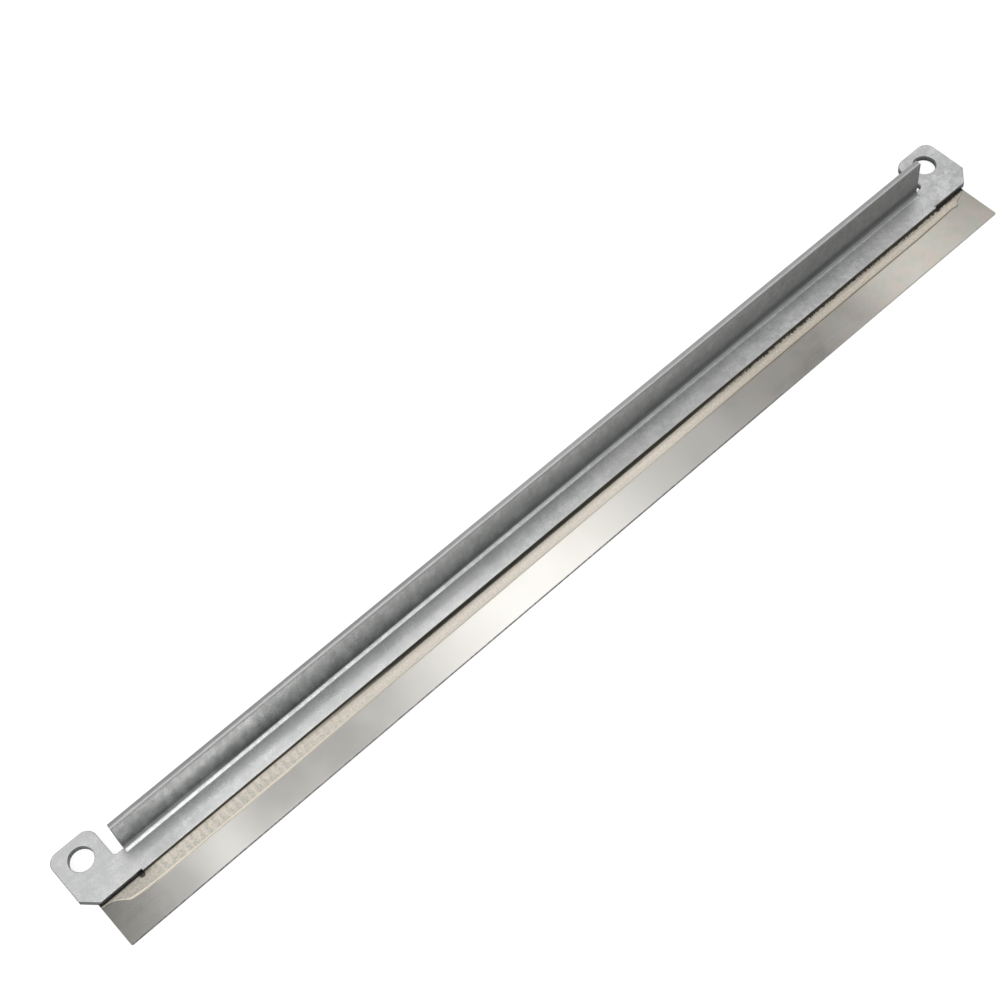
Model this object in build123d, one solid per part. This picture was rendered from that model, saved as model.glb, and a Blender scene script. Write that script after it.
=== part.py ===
from build123d import *
import os

# Doctor blade of a printer's toner unit, in millimetres: a thin spring-steel strip
# glued under the web of a bracket that is bent from one piece of galvanised sheet.
# +X runs along the bar, +Y from the blade towards the upright flange, and +Z up.
# The origin is the bottom centre of the whole part, which lies flat on its blade.

# Bracket sheet and its bend
bar_length = 240.0
sheet = 1.4
bend_inner_radius = 0.9
web_depth = 7.1
flange_height = 11.0
edge_roll = 0.15

# Ears at both ends of the web. Their front edges stand back a little from the web's,
# and a notch beside each ear lets the flange bend up
ear_length = 10.1
ear_depth = 14.1
ear_setback = 0.4
ear_corner_radius = 2.3
front_chamfer = 3.0
notch_width = 2.15
notch_floor = 6.0
notch_corner_radius = 0.8

# Screw holes, one in each ear, with the rim that the punch drew in
hole_diameter = 5.0
hole_rim_roll = 0.15
hole_from_end = 5.2
hole_from_front = 9.75

# Small nicks where the web's front edge steps back to the ears
nick_width = 1.1
nick_depth = 0.45
nick_from_end = 11.8

# Blade strip
blade_length = 234.0
blade_shift = 0.6
blade_thickness = 0.3
blade_reach = 9.4
blade_corner_radius = 0.4
lap_margin = 0.4

# Adhesive: the film under the web and the bead that it left on the blade
film_thickness = 0.1
bead_width_left = 3.1
bead_width_right = 2.4
bead_thickness = 0.14
bead_rim_height = 0.2
bead_rim_width = 0.5
bead_climb = 0.5
bead_climb_radius = 0.55
bead_run_in_left = 6.5
bead_run_in_right = 4.5

# Places worked out from the sizes above
web_front = (blade_reach - ear_depth) / 2
web_underside = blade_thickness + film_thickness
flange_length = bar_length - 2 * (ear_length + notch_width)
bend_outer_radius = bend_inner_radius + sheet
bend_line = web_depth - bend_outer_radius
blade_lap = bend_line - lap_margin
blade_left = -blade_length / 2 - blade_shift
blade_right = blade_length / 2 - blade_shift
nick_x = bar_length / 2 - nick_from_end


def blank_plan():
    """Flat outline of the web with its two ears, seen from above, web front on y = 0."""
    plan = Pos(0, bend_line / 2) * Rectangle(2 * nick_x, bend_line)
    tab_length = ear_length + notch_width
    tab_depth = notch_floor - ear_setback
    ear_plan_depth = ear_depth - ear_setback
    for side in (-1, 1):
        tab_x = side * (bar_length - tab_length) / 2
        plan += Pos(tab_x, ear_setback + tab_depth / 2) * Rectangle(tab_length, tab_depth)
        ear_x = side * (bar_length - ear_length) / 2
        plan += Pos(ear_x, ear_setback + ear_plan_depth / 2) * Rectangle(ear_length, ear_plan_depth)
    plan = fillet(plan.vertices().group_by(Axis.Y)[-1], ear_corner_radius)
    outer_x = bar_length / 2 - sheet / 2
    outer_corners = plan.vertices().filter_by(lambda corner: abs(corner.X) > outer_x)
    plan = chamfer(outer_corners.group_by(Axis.Y)[0], front_chamfer)
    notch_x = bar_length / 2 - ear_length
    notch_corners = [
        corner
        for corner in plan.vertices()
        if abs(abs(corner.X) - notch_x) < sheet / 2 and abs(corner.Y - notch_floor) < sheet / 2
    ]
    return fillet(notch_corners, notch_corner_radius)


def holes_and_nicks():
    """What is punched out of the blank: a screw hole and a small nick at each end."""
    punched = Sketch()
    for side in (-1, 1):
        hole_x = side * (bar_length / 2 - hole_from_end)
        punched += Pos(hole_x, hole_from_front) * Circle(hole_diameter / 2)
        punched += Pos(side * nick_x, 0) * Rectangle(nick_width, 2 * nick_depth)
    return punched


def make_web():
    """Flat web and ears, with the upper rim of the outline and of the screw holes rolled."""
    web = extrude(blank_plan() - holes_and_nicks(), sheet)
    upper = web.faces().sort_by(Axis.Z)[-1]
    flange_end = flange_length / 2
    outline = [
        edge
        for edge in upper.edges()
        if not edge.is_closed and abs(abs(edge.center().X) - flange_end) > edge_roll
    ]
    web = fillet(outline, edge_roll)
    upper = web.faces().sort_by(Axis.Z)[-1]
    return fillet([edge for edge in upper.edges() if edge.is_closed], hole_rim_roll)


def bent_section():
    """Section across the upright flange and the rear half of the web, with the bend's radii."""
    inner = web_depth - sheet
    front = bend_line / 2
    corners = [
        (front, 0),
        (web_depth, 0),
        (web_depth, flange_height),
        (inner, flange_height),
        (inner, sheet),
        (front, sheet),
    ]
    section = make_face(Polyline(*corners, close=True))
    heel = section.vertices().sort_by_distance((web_depth, 0))[0]
    section = fillet(heel, bend_outer_radius)
    crook = section.vertices().sort_by_distance((inner, sheet))[0]
    return fillet(crook, bend_inner_radius)


def make_flange():
    """Upright flange with its bend, its punched side rounded along the top and both ends."""
    flange = extrude(Plane.YZ * bent_section(), flange_length / 2, both=True)
    punched_side = [face for face in flange.faces().filter_by(Axis.Y) if face.normal_at().Y < 0]
    inner_face = sorted(punched_side, key=lambda face: face.area)[-1]
    lower_edge = inner_face.edges().sort_by(Axis.Z)[0]
    rolled = [edge for edge in inner_face.edges() if edge.center().Z > lower_edge.center().Z + sheet / 2]
    return fillet(rolled, edge_roll)


def make_bracket():
    """Galvanised sheet bent to an L, with a flat ear at each end of the web."""
    return Pos(0, web_front, web_underside) * (make_web() + make_flange())


def make_blade():
    """Thin strip under the web, standing out in front of it along the whole bar."""
    depth = blade_reach + blade_lap
    outline = Rectangle(blade_length, depth)
    outline = fillet(outline.vertices().group_by(Axis.Y)[0], blade_corner_radius)
    middle = (blade_lap - blade_reach) / 2
    return Pos(-blade_shift, web_front + middle) * extrude(outline, blade_thickness)


def bead_section(width):
    """Section of the bead: a rounded outer rim, a thin middle and a climb up the web's edge."""
    rim_top = (-width + bead_rim_width / 2, bead_rim_height)
    rim_foot = (-width + bead_rim_width, bead_thickness)
    climb_foot = (-bead_climb_radius, bead_thickness)
    climb_middle = (-bead_climb_radius * 0.25, bead_thickness + (bead_climb - bead_thickness) * 0.35)
    lines = Line((0, 0), (-width, 0))
    lines += ThreePointArc((-width, 0), rim_top, rim_foot)
    lines += Line(rim_foot, climb_foot)
    lines += ThreePointArc(climb_foot, climb_middle, (0, bead_climb))
    lines += Line((0, bead_climb), (0, 0))
    return make_face(lines)


def bead_plan():
    """Outline of the bead from above: it runs out to nothing at both ends of the blade."""
    left_full = (blade_left + bead_run_in_left, -bead_width_left)
    right_full = (blade_right - bead_run_in_right, -bead_width_right)
    along = (1, 0)
    lines = Line((blade_right, 0), (blade_left, 0))
    lines += Spline((blade_left, 0), left_full, tangents=(along, along))
    lines += Line(left_full, right_full)
    lines += Spline(right_full, (blade_right, 0), tangents=(along, along))
    return make_face(lines)


def make_bead():
    """Bead along the web's front edge. It climbs that edge only between the two nicks."""
    left = Plane(origin=(blade_left, 0, 0), x_dir=(0, 1, 0), z_dir=(1, 0, 0))
    right = Plane(origin=(blade_right, 0, 0), x_dir=(0, 1, 0), z_dir=(1, 0, 0))
    bead = loft([left * bead_section(bead_width_left), right * bead_section(bead_width_right)])
    bead = bead & extrude(bead_plan(), bead_climb)
    climb = Rectangle(2 * nick_from_end, 2 * bead_climb_radius)
    climb = extrude(Plane.XY.offset(bead_thickness) * climb, bead_climb)
    for side in (-1, 1):
        bead -= Pos(side * (nick_x + nick_from_end)) * climb
    return bead


def make_adhesive():
    """Film between web and blade, in one piece with the bead in front of the web."""
    film = Pos(-blade_shift, blade_lap / 2) * Rectangle(blade_length, blade_lap)
    film = extrude(film, film_thickness)
    return Pos(0, web_front, blade_thickness) * (film + make_bead())


os.makedirs("parts", exist_ok=True)
export_step(make_bracket(), "parts/bracket.step")
export_step(make_blade(), "parts/blade.step")
export_step(make_adhesive(), "parts/adhesive.step")
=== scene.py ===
import math
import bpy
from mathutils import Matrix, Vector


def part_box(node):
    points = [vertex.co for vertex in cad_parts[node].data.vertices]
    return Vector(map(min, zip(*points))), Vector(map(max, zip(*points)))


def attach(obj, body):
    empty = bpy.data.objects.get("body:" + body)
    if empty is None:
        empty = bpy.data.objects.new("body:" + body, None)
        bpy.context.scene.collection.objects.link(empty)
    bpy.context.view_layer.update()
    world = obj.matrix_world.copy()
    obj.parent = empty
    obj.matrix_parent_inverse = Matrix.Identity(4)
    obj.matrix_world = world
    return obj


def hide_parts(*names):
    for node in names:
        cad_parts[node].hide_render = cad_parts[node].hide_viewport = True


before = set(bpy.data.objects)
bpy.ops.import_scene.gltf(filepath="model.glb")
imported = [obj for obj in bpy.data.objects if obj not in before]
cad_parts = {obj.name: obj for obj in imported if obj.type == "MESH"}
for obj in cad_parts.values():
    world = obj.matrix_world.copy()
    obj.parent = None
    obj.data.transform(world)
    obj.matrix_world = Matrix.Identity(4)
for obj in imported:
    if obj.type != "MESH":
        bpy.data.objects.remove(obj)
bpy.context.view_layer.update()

from types import SimpleNamespace

import bmesh
import bpy
from mathutils import Matrix, Vector

# Looks of a doctor blade from a printer's toner unit: a bracket of galvanised sheet,
# the thin steel strip glued under it, and the glue that was pressed out along its edge.
# Lengths are in millimetres and are turned into metres where a mesh or the camera is made.
MM = 0.001

# Camera, as the photograph was taken
camera_place = (-120.707, -156.778, 335.883)
camera_target = (-7.619, 10.775, 0.0)
camera_roll = -9.3204
camera_lens = 69.918
camera_sensor = 36.0
camera_clip = (0.01, 100.0)

# Places on the bracket and the blade, from the parts in model.glb and from the sheet's own sizes
sheet = 1.4
web_depth = 7.1
flange_end = 107.75
nick_place = 108.2
web_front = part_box("bracket")[0].y / MM
web_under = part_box("bracket")[0].z / MM
web_top = web_under + sheet
bend_top = web_top + 1.2
flange_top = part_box("bracket")[1].z / MM
flange_face = web_front + web_depth - sheet
free_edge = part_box("blade")[0].y / MM
blade_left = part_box("blade")[0].x / MM
blade_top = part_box("blade")[1].z / MM

# Glue bead in front of the web. The profile gives its top at each distance from the web,
# and the ends give its width at each distance from the blade's ends
bead_width = 3.1
bead_sunk = 0.05
bead_inset = 0.03
bead_cuts = (20, 21)
bead_profile = [
    (0.03, 0.80),
    (0.10, 0.66),
    (0.22, 0.54),
    (0.40, 0.475),
    (0.65, 0.45),
    (1.05, 0.44),
    (1.50, 0.435),
    (1.95, 0.435),
    (2.30, 0.44),
    (2.52, 0.455),
    (2.68, 0.485),
    (2.82, 0.505),
    (2.94, 0.49),
    (3.04, 0.43),
    (3.10, 0.33),
]
bead_left_end = [
    (0, 0.06),
    (1.9, 0.2),
    (2.7, 0.5),
    (3.7, 1.25),
    (4.9, 2.32),
    (5.7, 2.56),
    (7.4, 2.74),
    (11, 3.0),
]
bead_middle = [(40, 3.05), (80, 2.8), (130, 2.6), (180, 2.45), (212, 2.42)]
bead_right_end = [
    (16, 2.42),
    (12, 2.28),
    (8, 2.14),
    (6.4, 2.06),
    (5.4, 2.04),
    (4.8, 2.2),
    (4.3, 2.36),
    (3.9, 2.2),
    (3.6, 1.7),
    (3.2, 1.3),
    (2.6, 1.08),
    (1.8, 0.9),
    (1.0, 0.5),
    (0, 0.08),
]
bead_end_height = 0.25
bead_end_rise = 6.0
climb_reach = 0.5
climb_left_over = 0.2
lump_size = 1.7
lump_height = 0.05
smooth_angle = 0.9
film_gap = 0.005
touching = 0.01
place_step = 0.1
lumps_from = 0.15

# Finish of the glue along the blade, in millimetres from the blade's left end.
# The bead's own coordinates go up by one in every uv_step
cream_from = (9.0, 12.0)
cream_to = (36.0, 76.0)
beige_from = (134.0, 175.0)
right_tip_from = (228.5, 231.0)
ripple_pitch = 1.65
uv_step = 5.0

# Colours of the zinc, and of the sheet's steel where it was cut
dark_zinc = (0.45, 0.455, 0.455)
light_zinc = (0.74, 0.745, 0.745)
streaked_zinc = (0.48, 0.49, 0.485)
hazed_zinc = (0.62, 0.62, 0.61)
# Painted highlight: the web's front sheen at the left and the bend's bright line
highlight_zinc = (0.85, 0.855, 0.85)
# Painted shade on the web's front half just right of the middle
shaded_web_zinc = (0.4, 0.405, 0.405)
blotched_zinc = (0.34, 0.345, 0.34)
# Painted shade that dims the bend towards the right
shaded_bend_zinc = (0.27, 0.275, 0.275)
# Painted shade on the rolled rims and the flange top's inner edge, and the dark line between the
# top's zones
line_and_shade_grey = (0.15, 0.15, 0.155)
# Painted shade on the flange's inner face, darker at the left, with lighter streaks
flange_shade_left = (0.06, 0.065, 0.065)
flange_shade_right = (0.165, 0.17, 0.165)
flange_shade_streak = (0.22, 0.225, 0.22)
sheared_grey = (0.5, 0.5, 0.5)
torn_grey_left = (0.23, 0.235, 0.235)
torn_grey_right = (0.36, 0.365, 0.365)
# Bare steel of the cut faces, darkened further with painted shade
burnished_steel_and_shade = ((0.1, 0.103, 0.11), (0.16, 0.164, 0.172))
torn_steel_and_shade = ((0.05, 0.052, 0.056), (0.09, 0.092, 0.097))
grease = (0.075, 0.07, 0.055)

# Colours of the strip
strip_steel = ((0.728, 0.712, 0.677), (0.738, 0.723, 0.688))
hazed_steel = (0.7, 0.675, 0.62)
fresh_scratch = (0.9, 0.9, 0.89)
dull_tip = (0.5, 0.485, 0.45)
pink_stain = (0.75, 0.675, 0.60)
green_stain = (0.68, 0.67, 0.59)
ground_steel = (0.08, 0.075, 0.08)
# Painted shade on the strip under the ears' front edges
shade_under_ears = (0.06, 0.055, 0.05)

# Colours of the glue
pink_cream = (0.81, 0.735, 0.64)
green_cream = (0.63, 0.6, 0.52)
pale_cream = (0.9, 0.82, 0.72)
tip_cream = (0.54, 0.52, 0.44)
beige = (0.68, 0.62, 0.52)
fine_light = (0.96, 0.9, 0.8)
# Painted light and shade on the bead's rim and outer side: light at the left, dark brown at the
# right and along the outer contact line
rim_highlight_left = (0.95, 0.885, 0.75)
painted_rim_middle = (0.78, 0.73, 0.64)
rim_shade_right = (0.5, 0.45, 0.37)
outer_light_left = (0.7, 0.63, 0.54)
outer_contact_shade = (0.19, 0.15, 0.1)
shaded_glue = (0.36, 0.32, 0.26)
# Painted shadow and reflection of the web's dark edge, beside the web
edge_reflection_and_shadow = (0.05, 0.044, 0.034)
# A black spot in the glue at each nick
black_residue = (0.03, 0.022, 0.018)

# Soft boxes in the slot of the studio's ceiling: place across, half width, soft edge, brightness
soft_boxes = [
    (0.079, 0.006, 0.016, 0.72),
    (0.096, 0.006, 0.02, 0.16),
    (0.312, 0.02, 0.12, 0.97),
    (0.462, 0.008, 0.012, 0.36),
    (0.638, 0.008, 0.05, 0.42),
    (0.65, 0.015, 0.08, 0.3),
]

# Two lamps in front at the left, which the bend mirrors as its thin bright line:
# start, full, wane and end across, the same in depth, and brightness
front_lamps = [
    ((-0.01, 0.07, 0.1, 0.19), (-1.6, -1.1, -0.1, 0.1), 1.6),
    ((-0.04, 0.04, 0.25, 0.7), (-3.2, -2.4, -1.1, -0.8), 2.2),
]

# Floor
floor_size = 30.0
floor_gap = 0.02
floor_grey = (0.4, 0.4, 0.4)
floor_glow = 0.72


def blend_between(points, x):
    """Value at x on straight lines between (place, value) points that go up in place."""
    if x <= points[0][0]:
        return points[0][1]
    for (x0, y0), (x1, y1) in zip(points, points[1:]):
        if x <= x1:
            return y0 + (y1 - y0) * (x - x0) / (x1 - x0)
    return points[-1][1]


# Node helpers
def add(tree, kind, **settings):
    node = tree.nodes.new(kind)
    for name, value in settings.items():
        setattr(node, name, value)
    return node


def join(tree, out_socket, in_socket):
    tree.links.new(out_socket, in_socket)


def fill(tree, socket, value):
    """Puts a number or a colour in a socket, or joins another node's socket to it."""
    if isinstance(value, (int, float)):
        socket.default_value = value
    elif isinstance(value, tuple):
        socket.default_value = (*value, 1.0)
    else:
        join(tree, value, socket)


def math_node(tree, operation, first, second=None):
    node = add(tree, "ShaderNodeMath", operation=operation)
    fill(tree, node.inputs[0], first)
    if second is not None:
        fill(tree, node.inputs[1], second)
    return node.outputs[0]


def times(tree, first, second):
    return math_node(tree, "MULTIPLY", first, second)


def plus(tree, first, second):
    return math_node(tree, "ADD", first, second)


def larger(tree, first, second):
    return math_node(tree, "MAXIMUM", first, second)


def opposite(tree, value):
    return math_node(tree, "SUBTRACT", 1.0, value)


def ramp(tree, value, low, high, to_low=0.0, to_high=1.0, smooth=True):
    """Turns value, as it goes from low to high, into to_low to to_high, and holds it outside."""
    node = add(tree, "ShaderNodeMapRange", interpolation_type="SMOOTHSTEP" if smooth else "LINEAR")
    join(tree, value, node.inputs["Value"])
    node.inputs["From Min"].default_value = low
    node.inputs["From Max"].default_value = high
    node.inputs["To Min"].default_value = to_low
    node.inputs["To Max"].default_value = to_high
    return node.outputs["Result"]


def window(tree, value, start, full, wane, end):
    """1 where value is between full and wane, fading to 0 at start and at end."""
    return times(tree, ramp(tree, value, start, full), ramp(tree, value, end, wane))


def mix_colour(tree, factor, first, second):
    node = add(tree, "ShaderNodeMix", data_type="RGBA", blend_type="MIX")
    for index, value in ((0, factor), (6, first), (7, second)):
        fill(tree, node.inputs[index], value)
    return node.outputs[2]


def mix_value(tree, factor, first, second):
    node = add(tree, "ShaderNodeMix", data_type="FLOAT")
    for index, value in ((0, factor), (2, first), (3, second)):
        fill(tree, node.inputs[index], value)
    return node.outputs[0]


def tint(tree, colour, mask, strength, new_colour):
    """Lays new_colour over colour where mask is 1, as strongly as strength says."""
    return mix_colour(tree, times(tree, mask, strength), colour, new_colour)


def new_group(name, inputs, outputs):
    """An empty node group. inputs are (name, default number), outputs are names of masks."""
    group = bpy.data.node_groups.new(name, "ShaderNodeTree")
    sockets = group.interface
    for socket_name, value in inputs:
        socket = sockets.new_socket(socket_name, in_out="INPUT", socket_type="NodeSocketFloat")
        socket.default_value = value
    for socket_name in outputs:
        sockets.new_socket(socket_name, in_out="OUTPUT", socket_type="NodeSocketFloat")
    return group, add(group, "NodeGroupInput"), add(group, "NodeGroupOutput")


def place_group(tree, group, **values):
    node = add(tree, "ShaderNodeGroup", node_tree=group)
    for name, value in values.items():
        fill(tree, node.inputs[name.replace("_", " ")], value)
    return node


def millimetres(tree, stretch=(1.0, 1.0, 1.0), turn=0.0):
    """Object coordinates in millimetres, turned about Z and stretched along each axis."""
    place = add(tree, "ShaderNodeTexCoord")
    mapping = add(tree, "ShaderNodeMapping")
    mapping.inputs["Scale"].default_value = [1000.0 * s for s in stretch]
    mapping.inputs["Rotation"].default_value = (0.0, 0.0, turn)
    join(tree, place.outputs["Object"], mapping.inputs["Vector"])
    return mapping.outputs["Vector"]


def spot_in_mm(tree):
    split = add(tree, "ShaderNodeSeparateXYZ")
    join(tree, millimetres(tree), split.inputs[0])
    return split.outputs["X"], split.outputs["Y"], split.outputs["Z"]


def facing(tree, axis):
    """How much the surface faces along an axis, either way, from 0 to 1."""
    geometry = add(tree, "ShaderNodeNewGeometry")
    split = add(tree, "ShaderNodeSeparateXYZ")
    join(tree, geometry.outputs["Normal"], split.inputs[0])
    return math_node(tree, "ABSOLUTE", split.outputs[axis])


def noise(tree, vector, scale, detail=2.0, roughness=0.5):
    """Soft random cloudiness around 0.5, with so many clouds to a millimetre."""
    node = add(tree, "ShaderNodeTexNoise")
    join(tree, vector, node.inputs["Vector"])
    fill(tree, node.inputs["Scale"], scale)
    node.inputs["Detail"].default_value = detail
    node.inputs["Roughness"].default_value = roughness
    return node.outputs["Fac"]


# Finishes that more than one material uses
def make_zinc_mottle():
    """Fine cloudy grain of a zinc coating: small soft crystals under a finer speckle."""
    group, given, result = new_group(
        "zinc mottle",
        [("Crystals per mm", 1.3), ("Speckle per mm", 3.4)],
        ["Shade", "Height"],
    )
    vector = millimetres(group)
    wander = noise(group, vector, 0.8, 2.0).node
    shift = add(group, "ShaderNodeVectorMath", operation="MULTIPLY_ADD")
    join(group, wander.outputs["Color"], shift.inputs[0])
    shift.inputs[1].default_value = (1.1, 1.1, 1.1)
    join(group, vector, shift.inputs[2])
    crystals = add(group, "ShaderNodeTexVoronoi", feature="SMOOTH_F1")
    join(group, shift.outputs[0], crystals.inputs["Vector"])
    join(group, given.outputs["Crystals per mm"], crystals.inputs["Scale"])
    crystals.inputs["Smoothness"].default_value = 0.7
    split = add(group, "ShaderNodeSeparateColor")
    join(group, crystals.outputs["Color"], split.inputs[0])
    speckle = noise(group, vector, given.outputs["Speckle per mm"])
    clouds = noise(group, vector, 0.35)
    shade = plus(group, times(group, split.outputs["Red"], 0.3), speckle)
    shade = plus(group, shade, times(group, clouds, 0.8))
    height = plus(group, clouds, times(group, speckle, 0.2))
    join(group, ramp(group, shade, 0.75, 1.35), result.inputs["Shade"])
    join(group, height, result.inputs["Height"])
    return group


def make_rolling_lines():
    """Fine lines that the mill leaves along the sheet, and broader streaks beside them."""
    group, given, result = new_group(
        "rolling lines",
        [("Lines per mm", 8.0), ("Streaks per mm", 0.7)],
        ["Lines", "Streaks"],
    )
    stretched = millimetres(group, (0.02, 1.0, 1.0))
    less_stretched = millimetres(group, (0.16, 1.0, 1.0))
    lines = noise(group, stretched, given.outputs["Lines per mm"], 3.0, 0.6)
    streaks = noise(group, less_stretched, given.outputs["Streaks per mm"], 3.0, 0.55)
    join(group, ramp(group, lines, 0.3, 0.7), result.inputs["Lines"])
    join(group, ramp(group, streaks, 0.32, 0.68), result.inputs["Streaks"])
    return group


def make_handling_haze():
    """Broad faint haze from handling and storage, and a few hair-fine scratches."""
    group, given, result = new_group(
        "handling haze",
        [("Patches per mm", 0.12)],
        ["Haze", "Scratches"],
    )
    patches = noise(group, millimetres(group), given.outputs["Patches per mm"], 4.0, 0.55)
    join(group, ramp(group, patches, 0.35, 0.65), result.inputs["Haze"])
    scratches = None
    for turn in (0.5, -0.9, 1.9):
        hairs = noise(group, millimetres(group, (0.05, 1.0, 1.0), turn), 7.0, 1.0, 0.4)
        patchy = noise(group, millimetres(group, (1.0, 1.0, 1.0), turn), 0.16, 1.0, 0.4)
        seen = times(group, ramp(group, hairs, 0.70, 0.76), ramp(group, patchy, 0.5, 0.6))
        scratches = seen if scratches is None else larger(group, scratches, seen)
    join(group, scratches, result.inputs["Scratches"])
    return group


zinc_mottle = make_zinc_mottle()
rolling_lines = make_rolling_lines()
handling_haze = make_handling_haze()


# Materials
def new_material(name):
    material = bpy.data.materials.new(name)
    material.use_nodes = True
    tree = material.node_tree
    shader = tree.nodes["Principled BSDF"]
    return material, tree, shader


def bump(tree, height, strength, distance):
    """Normals of a relief that is this many millimetres high."""
    node = add(tree, "ShaderNodeBump")
    node.inputs["Strength"].default_value = strength
    node.inputs["Distance"].default_value = distance * MM
    join(tree, height, node.inputs["Height"])
    return node.outputs["Normal"]


# Galvanised sheet
def read_bracket(tree):
    """Where a point of the bracket lies, and which of its faces it is on, as masks from 0 to 1."""
    spot = SimpleNamespace()
    spot.x, spot.y, spot.z = spot_in_mm(tree)
    spot.level = facing(tree, "Z")
    spot.from_middle = math_node(tree, "ABSOLUTE", spot.x)
    spot.duller = ramp(tree, spot.x, -60.0, 90.0)

    between_ears = math_node(tree, "LESS_THAN", spot.from_middle, flange_end + 0.05)
    behind_web = math_node(tree, "GREATER_THAN", spot.y, flange_face - 1.0)
    spot.on_flange = times(tree, between_ears, behind_web)
    spot.in_bend = times(tree, spot.on_flange, ramp(tree, spot.z, bend_top + 0.2, bend_top))
    upright = ramp(tree, spot.level, 0.75, 0.35)
    rolled_face = times(tree, spot.on_flange, ramp(tree, facing(tree, "X"), 0.7, 0.5))
    inner_side = ramp(tree, spot.y, flange_face + 0.5, flange_face + 0.1)
    spot.inner_face = times(tree, inner_side, times(tree, upright, rolled_face))
    spot.cut = times(tree, upright, opposite(tree, rolled_face))

    # The flange's sheared top, torn outside a wavy line
    at_top = ramp(tree, spot.z, flange_top - 0.12, flange_top - 0.04)
    spot.sheared_top = times(tree, spot.on_flange, at_top)
    wave = noise(tree, millimetres(tree, (0.5, 1.0, 1.0)), 1.1, 3.0, 0.6)
    spot.torn_line = plus(tree, spot.y, times(tree, wave, 0.5))
    torn = ramp(tree, spot.torn_line, flange_face + 0.95, flange_face + 1.1)
    spot.torn_top = times(tree, spot.sheared_top, torn)
    return spot


def colour_zinc(tree, spot, mottle, haze):
    """Zinc, smooth at the left and more mottled at the right, with soft streaks along the sheet."""
    rolling = place_group(tree, rolling_lines, Streaks_per_mm=0.7)
    contrast = mix_value(tree, spot.duller, 0.65, 1.0)
    mottled = mix_value(tree, contrast, 0.5, mottle.outputs["Shade"])
    colour = mix_colour(tree, mottled, dark_zinc, light_zinc)
    colour = tint(tree, colour, rolling.outputs["Streaks"], 0.5, streaked_zinc)
    colour = tint(tree, colour, haze.outputs["Haze"], 0.25, hazed_zinc)

    # Painted light on the web's front half: a painted sheen at the left and painted shade just
    # right of the middle
    front_half = times(tree, ramp(tree, spot.level, 0.9, 0.99), ramp(tree, spot.y, 0.4, -0.8))
    front_sheen = times(tree, front_half, window(tree, spot.x, -100.0, -85.0, -30.0, 0.0))
    colour = tint(tree, colour, front_sheen, 0.28, highlight_zinc)
    front_shade = times(tree, front_half, window(tree, spot.x, 5.0, 20.0, 45.0, 62.0))
    return tint(tree, colour, front_shade, 0.35, shaded_web_zinc)


def flange_shade_share(tree, spot):
    """How strongly painted shade darkens the flange's inner face: most at its base, evenly at the
    right, and less higher up in a painted light patch at the left.
    """
    left = ramp(tree, spot.z, bend_top + 1.0, flange_top + 1.0, 1.0, 0.1, smooth=False)
    middle = ramp(tree, spot.z, bend_top, flange_top + 1.0, 1.0, 0.1, smooth=False)
    right = ramp(tree, spot.z, bend_top + 0.6, bend_top + 2.4, 1.0, 0.69)
    share = mix_value(tree, ramp(tree, spot.x, -60.0, -20.0), left, middle)
    share = mix_value(tree, ramp(tree, spot.x, 20.0, 85.0), share, right)
    # A painted reflection of a soft box: less shade higher up at the left
    reflected_patch = window(tree, spot.x, -104.0, -92.0, -80.0, -66.0)
    higher_up = ramp(tree, spot.z, bend_top + 2.8, flange_top - 1.5, 0.0, -0.45)
    return plus(tree, share, times(tree, reflected_patch, higher_up))


def colour_inner_face(tree, spot, zinc):
    """The flange's inner face, darkened with painted shade that is deepest at its base, with
    blotches, and streaked from top to base.
    """
    streak_noise = noise(tree, millimetres(tree, (1.0, 1.0, 0.4)), 0.8, 3.0, 0.55)
    streak_value = ramp(tree, streak_noise, 0.35, 0.65)
    # Painted shade, darker at the left, with lighter streaks
    towards_right = ramp(tree, spot.x, -115.0, 30.0, smooth=False)
    flange_shade_colour = mix_colour(tree, towards_right, flange_shade_left, flange_shade_right)
    flange_shade_colour = tint(tree, flange_shade_colour, streak_value, 0.3, flange_shade_streak)
    blotches = times(tree, opposite(tree, streak_value), mix_value(tree, spot.duller, 0.45, 0.2))
    blotched = mix_colour(tree, blotches, zinc, blotched_zinc)
    face_colour = mix_colour(tree, flange_shade_share(tree, spot), blotched, flange_shade_colour)
    return mix_colour(tree, spot.inner_face, zinc, face_colour)


def colour_sheared_top(tree, spot, colour):
    """The flange's sheared top: a burnished zone, a torn one outside it, and thin dark lines, the
    inner one painted shade on its rolled edge.
    """
    torn_grey = mix_colour(tree, ramp(tree, spot.x, -50.0, 5.0), torn_grey_left, torn_grey_right)
    colour = tint(tree, colour, spot.sheared_top, 0.65, sheared_grey)
    colour = tint(tree, colour, spot.torn_top, 0.85, torn_grey)
    # Painted shade along the rolled inner edge of the flange's top
    inner_edge_shade = ramp(tree, spot.y, flange_face + 0.38, flange_face + 0.22)
    between = [flange_face + step for step in (0.85, 0.93, 1.0, 1.08)]
    line_between = window(tree, spot.torn_line, *between)
    lines = larger(tree, inner_edge_shade, times(tree, line_between, 0.6))
    return tint(tree, colour, times(tree, spot.sheared_top, lines), 0.6, line_and_shade_grey)


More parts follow.
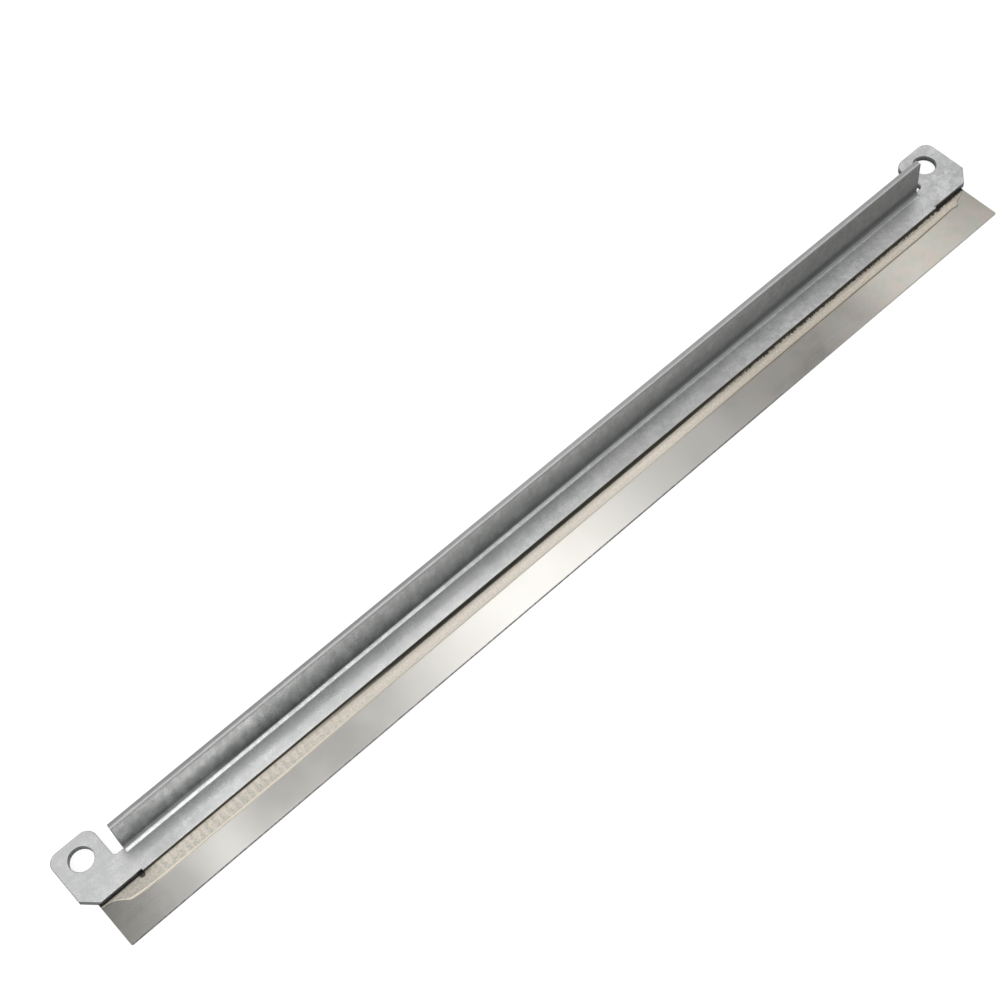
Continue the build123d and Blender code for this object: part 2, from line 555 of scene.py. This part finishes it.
def colour_cut_faces(tree, spot, grain, colour):
    """Cut faces: burnished steel above, torn steel below, both darkened further with painted shade,
    and grease on the web's front.
    """
    grain_shade = ramp(tree, grain, 0.3, 0.7)
    # Bare steel colours, darkened with painted shade
    burnished = mix_colour(tree, grain_shade, *burnished_steel_and_shade)
    torn = mix_colour(tree, grain_shade, *torn_steel_and_shade)
    upper = ramp(tree, spot.z, web_under + 0.65, web_under + 0.85)
    cut_colour = mix_colour(tree, upper, torn, burnished)
    at_front = ramp(tree, spot.y, web_front + 0.25, web_front + 0.05)
    greasy = times(tree, at_front, ramp(tree, spot.from_middle, nick_place + 0.4, nick_place))
    cut_colour = mix_colour(tree, greasy, cut_colour, grease)
    return mix_colour(tree, spot.cut, colour, cut_colour)


def colour_rims(tree, spot, colour):
    """Rolled rims, darkened with painted shade. The bend is not one of them."""
    # Painted shade on the rolled rims
    rounded = window(tree, spot.level, 0.25, 0.4, 0.93, 0.985)
    rim = times(tree, rounded, opposite(tree, spot.in_bend))
    return tint(tree, colour, rim, 0.75, line_and_shade_grey)


def colour_bend(tree, spot, colour):
    """The bend, with a painted highlight at the far left and painted shade towards the right."""
    curved = times(tree, spot.in_bend, ramp(tree, spot.level, 0.995, 0.96))
    # Painted shade that dims the bend's highlight towards the right
    bend_shade = times(tree, curved, ramp(tree, spot.x, -70.0, 70.0, 0.0, 0.75))
    colour = mix_colour(tree, bend_shade, colour, shaded_bend_zinc)
    # Painted highlight on the bend at the far left
    bend_highlight = times(tree, curved, ramp(tree, spot.x, -78.0, -92.0, 0.0, 0.3))
    return mix_colour(tree, bend_highlight, colour, highlight_zinc)


def make_galvanised_sheet():
    """Zinc on the rolled faces, with painted shade on the flange's inner face, and bare steel where
    cut.
    """
    material, tree, shader = new_material("galvanised sheet")
    spot = read_bracket(tree)
    mottle = place_group(tree, zinc_mottle)
    haze = place_group(tree, handling_haze, Patches_per_mm=0.09)
    grain = noise(tree, millimetres(tree, (1.0, 1.0, 0.25)), 4.0, 3.0, 0.6)
    colour = colour_zinc(tree, spot, mottle, haze)
    colour = colour_inner_face(tree, spot, colour)
    colour = colour_sheared_top(tree, spot, colour)
    colour = colour_cut_faces(tree, spot, grain, colour)
    colour = colour_rims(tree, spot, colour)
    colour = colour_bend(tree, spot, colour)
    join(tree, colour, shader.inputs["Base Color"])

    rough = ramp(tree, mottle.outputs["Shade"], 0.0, 1.0, 0.32, 0.24, smooth=False)
    rougher_parts = [
        (haze.outputs["Haze"], 0.04),
        (spot.in_bend, 0.06),
        (spot.duller, 0.12),
        (larger(tree, spot.cut, spot.torn_top), 0.16),
    ]
    for mask, more in rougher_parts:
        rough = plus(tree, rough, times(tree, mask, more))
    join(tree, rough, shader.inputs["Roughness"])
    shader.inputs["Metallic"].default_value = 1.0
    height = plus(tree, mottle.outputs["Height"], times(tree, spot.cut, grain))
    join(tree, bump(tree, height, 0.25, 0.03), shader.inputs["Normal"])
    return material


# Blade steel
def colour_strip(tree, x, rolling, haze):
    """Bright rolled steel with a dull left tip, stained pinkish and greenish towards the right."""
    colour = mix_colour(tree, rolling.outputs["Lines"], *strip_steel)
    colour = tint(tree, colour, haze.outputs["Haze"], 0.35, hazed_steel)
    colour = tint(tree, colour, haze.outputs["Scratches"], 0.06, fresh_scratch)
    colour = mix_colour(tree, ramp(tree, x, -106.0, -116.0, 0.0, 0.9), colour, dull_tip)
    hue = noise(tree, millimetres(tree), 0.33)
    stain_colour = mix_colour(tree, ramp(tree, hue, 0.4, 0.6), pink_stain, green_stain)
    stain = noise(tree, millimetres(tree), 0.2, 3.0, 0.6)
    stained = times(tree, ramp(tree, x, 20.0, 115.0), ramp(tree, stain, 0.3, 0.65, 0.45, 1.0))
    return mix_colour(tree, stained, colour, stain_colour)


def find_free_edge(tree, x, y):
    """The free edge, ground square, with a fine ragged burr on top."""
    upright = ramp(tree, facing(tree, "Z"), 0.75, 0.35)
    burr = ramp(tree, y, free_edge + 0.28, free_edge + 0.08)
    ragged = noise(tree, millimetres(tree), 2.2, 3.0, 0.6)
    burr = times(tree, burr, ramp(tree, ragged, 0.3, 0.6, 0.55, 1.0))
    return times(tree, larger(tree, upright, burr), ramp(tree, x, 40.0, 80.0, 1.0, 0.45))


def find_shade_under_ears(tree, x, y):
    """Painted shade on the strip under the front edges of both ears."""
    from_middle = math_node(tree, "ABSOLUTE", x)
    under_ear = ramp(tree, from_middle, nick_place - 0.4, nick_place + 0.1)
    return times(tree, under_ear, ramp(tree, y, web_front - 0.35, web_front - 0.1))


def make_blade_steel():
    """Bright rolled spring strip, brushed lengthwise, with a dark free edge."""
    material, tree, shader = new_material("blade steel")
    x, y, _ = spot_in_mm(tree)
    rolling = place_group(tree, rolling_lines, Lines_per_mm=8.0)
    haze = place_group(tree, handling_haze, Patches_per_mm=0.06)
    edge = find_free_edge(tree, x, y)
    colour = colour_strip(tree, x, rolling, haze)
    colour = mix_colour(tree, edge, colour, ground_steel)
    # Painted shade under the ears
    colour = tint(tree, colour, find_shade_under_ears(tree, x, y), 0.9, shade_under_ears)
    join(tree, colour, shader.inputs["Base Color"])

    rough = ramp(tree, rolling.outputs["Lines"], 0.0, 1.0, 0.09, 0.1, smooth=False)
    rough = plus(tree, rough, times(tree, haze.outputs["Haze"], 0.03))
    rough = plus(tree, rough, times(tree, edge, 0.2))
    join(tree, rough, shader.inputs["Roughness"])
    shader.inputs["Metallic"].default_value = 1.0
    height = plus(tree, rolling.outputs["Lines"], times(tree, haze.outputs["Scratches"], -0.3))
    join(tree, bump(tree, height, 0.02, 0.005), shader.inputs["Normal"])
    return material


# Cured glue
def find_residue(tree, spot):
    """A round black spot in the glue at each nick."""
    x = plus(tree, spot.along, blade_left)
    from_nick = plus(tree, math_node(tree, "ABSOLUTE", x), -nick_place)
    from_edge = times(tree, spot.across, bead_width)
    apart = plus(tree, times(tree, from_nick, from_nick), times(tree, from_edge, from_edge))
    return ramp(tree, apart, 0.48, 0.3)


def read_bead(tree):
    """Where a point lies on the bead's own coordinates, and which parts of the bead it is in.
    along is in millimetres, and across goes from 0 at the web to 1 at the bead's outer edge."""
    place = add(tree, "ShaderNodeUVMap", uv_map="bead")
    split = add(tree, "ShaderNodeSeparateXYZ")
    join(tree, place.outputs["UV"], split.inputs[0])
    spot = SimpleNamespace()
    spot.along = times(tree, split.outputs["X"], uv_step)
    spot.across = times(tree, split.outputs["Y"], uv_step)
    spot.fine = noise(tree, millimetres(tree, (1.0, 0.8, 0.8)), 2.6, 3.0, 0.6)
    spot.fine_shade = ramp(tree, spot.fine, 0.35, 0.65)

    # From left to right
    spot.left_tip = ramp(tree, spot.along, cream_from[1] + 3.0, cream_from[0] - 1.0)
    spot.cream_part = window(tree, spot.along, *cream_from, *cream_to)
    spot.left_end = larger(tree, spot.cream_part, spot.left_tip)
    spot.beige_part = ramp(tree, spot.along, *beige_from)
    spot.right_tip = ramp(tree, spot.along, *right_tip_from)

    # From the outer edge to the web: painted light and shade on the rim and outer side, painted
    # shade near the web, and a painted shadow and reflection of the web's edge beside it, which
    # ends in flecks at the right
    spot.rim = window(tree, spot.across, 0.83, 0.88, 0.94, 0.98)
    outside_strength = mix_value(tree, larger(tree, spot.left_end, spot.beige_part), 0.3, 0.85)
    spot.outside = times(tree, ramp(tree, spot.across, 0.89, 0.94), outside_strength)
    right_of_cream = opposite(tree, spot.left_end)
    spot.near_web = times(tree, ramp(tree, spot.across, 0.46, 0.2), right_of_cream)
    reach = plus(tree, spot.across, times(tree, spot.beige_part, 0.1))
    strip = times(tree, ramp(tree, reach, 0.2, 0.06), right_of_cream)
    flecks = ramp(tree, plus(tree, spot.across, times(tree, spot.fine, 0.6)), 0.44, 0.34)
    strip = larger(tree, strip, times(tree, flecks, spot.beige_part))
    spot.beside_web = larger(tree, strip, ramp(tree, spot.across, -0.03, -0.1))
    spot.residue = find_residue(tree, spot)
    return spot


def colour_bead_body(tree, spot):
    """Soft ripples of two creams at the left, paler in the middle, beige and fine at the right."""
    ripples = add(tree, "ShaderNodeTexWave", wave_type="BANDS", wave_profile="SIN")
    ripples.bands_direction = "X"
    join(tree, millimetres(tree), ripples.inputs["Vector"])
    ripples.inputs["Scale"].default_value = 0.31 / ripple_pitch
    ripples.inputs["Distortion"].default_value = 2.5
    ripples.inputs["Detail"].default_value = 1.0
    ripples.inputs["Detail Scale"].default_value = 3.0
    blocks = noise(tree, millimetres(tree, (1.0, 0.8, 0.8)), 0.8, 1.0)
    lit = plus(tree, times(tree, ripples.outputs["Fac"], 0.45), blocks)
    lit = plus(tree, lit, ramp(tree, spot.across, 0.2, 0.7, 0.12, -0.12))
    colour = mix_colour(tree, ramp(tree, lit, 0.5, 0.95), green_cream, pink_cream)
    colour = mix_colour(tree, mix_value(tree, spot.cream_part, 0.8, 0.0), colour, pale_cream)
    colour = tint(tree, colour, spot.left_tip, 0.7, tip_cream)
    colour = tint(tree, colour, spot.beige_part, 0.8, beige)
    return tint(tree, colour, spot.fine_shade, 0.3, fine_light)


def colour_bead_edges(tree, spot, colour):
    """Painted light and shade on the bead's rim and its outer side, painted shade near the web, the
    painted shadow and reflection of the web's edge along it, and the black spots at the nicks.
    """
    # Painted highlight at the left and painted shade at the right, on the rim and the outer side
    painted_rim_colour = mix_colour(tree, spot.beige_part, painted_rim_middle, rim_shade_right)
    painted_rim_colour = mix_colour(tree, spot.left_end, painted_rim_colour, rim_highlight_left)
    colour = mix_colour(tree, spot.rim, colour, painted_rim_colour)
    painted_outer_colour = mix_colour(tree, spot.left_end, outer_contact_shade, outer_light_left)
    colour = mix_colour(tree, spot.outside, colour, painted_outer_colour)
    colour = tint(tree, colour, spot.near_web, 0.4, shaded_glue)
    # Painted shadow and reflection of the web's dark edge
    colour = mix_colour(tree, spot.beside_web, colour, edge_reflection_and_shadow)
    return mix_colour(tree, spot.residue, colour, black_residue)


def cover_share(tree, spot):
    """How well the glue covers the strip: best on its rim, less towards the right and both tips."""
    body = mix_value(tree, spot.beige_part, mix_value(tree, spot.left_tip, 0.82, 0.6), 0.66)
    body = plus(tree, body, times(tree, plus(tree, spot.fine_shade, -0.5), 0.12))
    body = times(tree, body, mix_value(tree, spot.right_tip, 1.0, 0.6))
    rim = times(tree, spot.rim, mix_value(tree, spot.beige_part, 1.0, 0.5))
    thick = larger(tree, rim, spot.outside)
    thick = times(tree, thick, mix_value(tree, spot.right_tip, 1.0, 0.3))
    share = mix_value(tree, thick, body, 0.9)
    share = mix_value(tree, spot.beside_web, share, 0.7)
    return larger(tree, share, spot.residue)


def make_cured_glue():
    """Cured glue: thick and cream at the left, thinner and beige at the right."""
    material, tree, shader = new_material("cured glue")
    spot = read_bead(tree)
    haze = place_group(tree, handling_haze, Patches_per_mm=0.5)
    colour = colour_bead_edges(tree, spot, colour_bead_body(tree, spot))
    join(tree, colour, shader.inputs["Base Color"])
    join(tree, cover_share(tree, spot), shader.inputs["Alpha"])
    join(tree, ramp(tree, haze.outputs["Haze"], 0.0, 1.0, 0.28, 0.42), shader.inputs["Roughness"])
    join(tree, bump(tree, spot.fine, 0.25, 0.04), shader.inputs["Normal"])
    return material


galvanised_sheet = make_galvanised_sheet()
blade_steel = make_blade_steel()
cured_glue = make_cured_glue()

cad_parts["bracket"].material_slots[0].material = galvanised_sheet
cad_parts["blade"].material_slots[0].material = blade_steel


# Glue bead
def clear_selection():
    bpy.ops.object.select_all(action="DESELECT")


def select_only(mesh, parts):
    """In edit mode, selects these faces or corners, with all that lies between them."""
    bpy.ops.mesh.select_all(action="DESELECT")
    for part in parts:
        part.select = True
    mesh.select_flush(True)


def front_face(mesh):
    return min(mesh.faces, key=lambda face: face.calc_center_median().y)


def extrude_profile(bead, height):
    """Extrudes the film's front face forwards, one step of the bead's profile at a time."""
    reached = 0.0
    for distance, top in bead_profile:
        mesh = bmesh.from_edit_mesh(bead.data)
        select_only(mesh, [front_face(mesh)])
        forwards = (0, (reached - distance) * MM, 0)
        bpy.ops.mesh.extrude_region_move(TRANSFORM_OT_translate={"value": forwards})
        mesh = bmesh.from_edit_mesh(bead.data)
        upper = sorted(front_face(mesh).verts, key=lambda corner: corner.co.z)[2:]
        select_only(mesh, upper)
        bpy.ops.transform.translate(value=(0, 0, (top - height) * MM))
        reached, height = distance, top


def divide_along(bead, cuts):
    """Divides every edge that runs along the bar."""
    bpy.ops.mesh.select_mode(type="EDGE")
    bpy.ops.mesh.select_all(action="DESELECT")
    for edge in bmesh.from_edit_mesh(bead.data).edges:
        run = edge.verts[1].co - edge.verts[0].co
        edge.select = abs(run.x) > 0.9 * run.length
    bpy.ops.mesh.subdivide(number_cuts=cuts)
    bpy.ops.mesh.select_mode(type="VERT")


def lay_coordinates(bead, left):
    """The bead's own coordinates: along it, and across it from the web's edge outwards."""
    mesh = bmesh.from_edit_mesh(bead.data)
    layer = mesh.loops.layers.uv.new("bead")
    for face in mesh.faces:
        for loop in face.loops:
            spot = loop.vert.co / MM
            along, across = spot.x - left, (web_front - spot.y) / bead_width
            loop[layer].uv = (along / uv_step, across / uv_step)
    bmesh.update_edit_mesh(bead.data)


def group_by_place(bead):
    """The corners in front of the web, as a list for each place along the bar."""
    places = {}
    for corner in bmesh.from_edit_mesh(bead.data).verts:
        if corner.co.y < (web_front - touching) * MM:
            places.setdefault(round(corner.co.x / (place_step * MM)), []).append(corner.index)
    return places.values()


def draw_in(bead, left, right):
    """Draws each step along the bead in to its width there, and lowers it towards both ends."""
    points = [(left + x, width) for x, width in bead_left_end + bead_middle]
    points += [(right - x, width) for x, width in bead_right_end]
    bpy.ops.mesh.select_all(action="DESELECT")
    for members in group_by_place(bead):
        mesh = bmesh.from_edit_mesh(bead.data)
        mesh.verts.ensure_lookup_table()
        x = mesh.verts[members[0]].co.x / MM
        for index in members:
            mesh.verts[index].select = True
        inner = min(x - left, right - x)
        lower = min(1.0, bead_end_height + (1 - bead_end_height) * inner / bead_end_rise)
        bpy.ops.transform.resize(
            value=(1, blend_between(points, x) / bead_width, lower),
            center_override=(x * MM, web_front * MM, blade_top * MM),
            orient_type="GLOBAL",
        )
        mesh = bmesh.from_edit_mesh(bead.data)
        mesh.verts.ensure_lookup_table()
        for index in members:
            mesh.verts[index].select = False


def end_climb(bead):
    """Beyond the nicks the glue doesn't climb the edge, because the ears stand further back."""
    mesh = bmesh.from_edit_mesh(bead.data)
    climb = [
        corner
        for corner in mesh.verts
        if abs(corner.co.x) > nick_place * MM
        and (web_front - climb_reach) * MM < corner.co.y < (web_front - touching) * MM
        and corner.co.z > (web_under + 2 * touching) * MM
    ]
    select_only(mesh, climb)
    bpy.ops.transform.resize(
        value=(1, 1, climb_left_over),
        center_override=(0, 0, web_under * MM),
        orient_type="GLOBAL",
    )


def raise_lumps(bead):
    """Gives the bead's top the shallow lumps of glue that was pressed out by hand."""
    top = bead.vertex_groups.new(name="bead top")
    members = [
        corner.index
        for corner in bead.data.vertices
        if corner.co.z > (web_under + 2 * touching) * MM
        and corner.co.y < (web_front - lumps_from) * MM
    ]
    top.add(members, 1.0, "REPLACE")
    clouds = bpy.data.textures.new("glue lumps", "CLOUDS")
    clouds.noise_scale = lump_size * MM
    clouds.noise_depth = 1
    lumps = bead.modifiers.new("lumps", "DISPLACE")
    lumps.texture = clouds
    lumps.texture_coords = "LOCAL"
    lumps.direction = "Z"
    lumps.strength = lump_height * MM
    lumps.mid_level = 0.5
    lumps.vertex_group = top.name
    bpy.ops.object.modifier_apply(modifier=lumps.name)


def model_bead():
    """The film between web and blade, and the bead pressed out in front of it, in one piece."""
    glue_low, glue_high = (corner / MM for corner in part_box("adhesive"))
    left, right = glue_low.x + bead_inset, glue_high.x - bead_inset
    back = glue_high.y - bead_inset
    bottom = blade_top - bead_sunk
    film_top = web_under - film_gap
    size = Vector((right - left, back - web_front, film_top - bottom)) * MM
    middle = Vector((left + right, back + web_front, film_top + bottom)) * MM / 2

    clear_selection()
    bpy.ops.mesh.primitive_cube_add(size=1.0, location=middle, scale=size)
    bead = bpy.context.object
    bead.name = "adhesive_bead"
    bpy.ops.object.transform_apply(location=True, rotation=False, scale=True)
    bpy.ops.object.mode_set(mode="EDIT")
    extrude_profile(bead, film_top)
    for cuts in bead_cuts:
        divide_along(bead, cuts)
    lay_coordinates(bead, left)
    draw_in(bead, left, right)
    end_climb(bead)
    bpy.ops.object.mode_set(mode="OBJECT")
    raise_lumps(bead)
    bpy.ops.object.shade_smooth_by_angle(angle=smooth_angle)
    bead.data.materials.append(cured_glue)
    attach(bead, "root")
    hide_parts("adhesive")


model_bead()


# Floor, studio and camera
def make_floor():
    """A pale floor that keeps the shadow and looks white to the camera and in the steel."""
    clear_selection()
    bpy.ops.mesh.primitive_plane_add(size=floor_size, location=(0, 0, -floor_gap * MM))
    floor = bpy.context.object
    floor.name = "floor"
    material, tree, shader = new_material("pale floor")
    shader.inputs["Base Color"].default_value = (*floor_grey, 1.0)
    shader.inputs["Roughness"].default_value = 0.9
    shader.inputs["Specular IOR Level"].default_value = 0.1
    shader.inputs["Emission Color"].default_value = (1.0, 1.0, 1.0, 1.0)
    path = add(tree, "ShaderNodeLightPath")
    seen = larger(tree, path.outputs["Is Camera Ray"], path.outputs["Is Transmission Ray"])
    seen = larger(tree, seen, path.outputs["Is Glossy Ray"])
    join(tree, times(tree, seen, floor_glow), shader.inputs["Emission Strength"])
    floor.data.materials.append(material)


def light_patch(tree, across, depth, range_across, range_depth):
    """A soft-edged patch of the ceiling. Each range is start, full, wane and end."""
    return times(tree, window(tree, across, *range_across), window(tree, depth, *range_depth))


def light_slot(tree, across):
    """The slot behind the bar: its own dim level, a broad glow, and the soft boxes in it."""
    level = plus(tree, times(tree, window(tree, across, 0.02, 0.05, 0.43, 0.5), 0.2), 0.23)
    for centre, half, soft, brightness in soft_boxes:
        low, high = centre - half, centre + half
        box = window(tree, across, low - soft, low, high, high + soft)
        level = plus(tree, level, times(tree, box, brightness))
    return level


def light_overhead(tree, across, depth):
    """Overhead: a soft box at the left, and a brighter half at the right with a dim strip in it."""
    level = times(tree, window(tree, across, -0.08, 0.03, 0.12, 0.28), 0.7)
    level = plus(tree, level, ramp(tree, across, 0.3, 0.42, 1.5, 1.15))
    level = plus(tree, level, ramp(tree, across, 0.5, 0.6, 0.0, 0.15))
    left_strip = light_patch(tree, across, depth, (0.06, 0.12, 0.26, 0.34), (0.2, 0.25, 0.34, 0.38))
    right_half = ramp(tree, across, 0.3, 0.42)
    right_strip = times(tree, right_half, window(tree, depth, -0.2, -0.05, 0.1, 0.2))
    dim_strip = light_patch(tree, across, depth, (0.3, 0.38, 0.5, 0.58), (0.15, 0.22, 0.34, 0.38))
    level = plus(tree, level, times(tree, plus(tree, left_strip, right_strip), 0.5))
    return plus(tree, level, times(tree, dim_strip, -0.6))


def light_front(tree, across):
    """In front of the bar: light at the left, falling to dim at the right."""
    left_half = ramp(tree, across, 0.0, 0.25, 0.7, 0.48)
    return times(tree, left_half, ramp(tree, across, 0.42, 0.7, 1.0, 0.36))


def make_studio():
    """A pale soft studio. Its ceiling is laid out by how far a ray goes across, along the bar,
    and in depth, behind the bar, for each step that it goes up."""
    world = bpy.data.worlds.new("studio")
    bpy.context.scene.world = world
    world.use_nodes = True
    tree = world.node_tree
    background = tree.nodes["Background"]
    background.inputs["Color"].default_value = (1.0, 1.0, 1.0, 1.0)
    place = add(tree, "ShaderNodeTexCoord")
    way = add(tree, "ShaderNodeSeparateXYZ")
    join(tree, place.outputs["Generated"], way.inputs[0])
    up = larger(tree, way.outputs["Z"], 0.05)
    across = math_node(tree, "DIVIDE", way.outputs["X"], up)
    depth = math_node(tree, "DIVIDE", way.outputs["Y"], up)

    rear = ramp(tree, across, 0.1, 0.6, 0.7, 0.65)
    overhead = light_overhead(tree, across, depth)
    ceiling = mix_value(tree, ramp(tree, depth, 0.4, 0.58), overhead, rear)
    slot = window(tree, depth, 0.37, 0.41, 0.475, 0.52)
    ceiling = mix_value(tree, slot, ceiling, light_slot(tree, across))
    slant = plus(tree, depth, times(tree, across, -0.6))
    ceiling = mix_value(tree, ramp(tree, slant, -0.68, -0.36), light_front(tree, across), ceiling)
    for range_across, range_depth, brightness in front_lamps:
        lamp = light_patch(tree, across, depth, range_across, range_depth)
        ceiling = plus(tree, ceiling, times(tree, lamp, brightness))
    wall = ramp(tree, depth, -0.5, 0.5, 0.35, 0.8)
    level = mix_value(tree, ramp(tree, way.outputs["Z"], 0.2, 0.45), wall, ceiling)
    join(tree, level, background.inputs["Strength"])


def make_camera():
    place, target = Vector(camera_place) * MM, Vector(camera_target) * MM
    clear_selection()
    bpy.ops.object.camera_add(location=place)
    camera = bpy.context.object
    camera.name = "camera"
    upright = (target - place).to_track_quat("-Z", "Y").to_matrix()
    roll = Matrix.Rotation(math.radians(camera_roll), 3, "Z")
    camera.rotation_euler = (upright @ roll).to_euler()
    camera.data.lens = camera_lens
    camera.data.sensor_width = camera_sensor
    camera.data.clip_start, camera.data.clip_end = camera_clip
    bpy.context.scene.camera = camera


make_floor()
make_studio()
make_camera()
bpy.context.scene.view_settings.view_transform = "Standard"

bpy.context.view_layer.update()
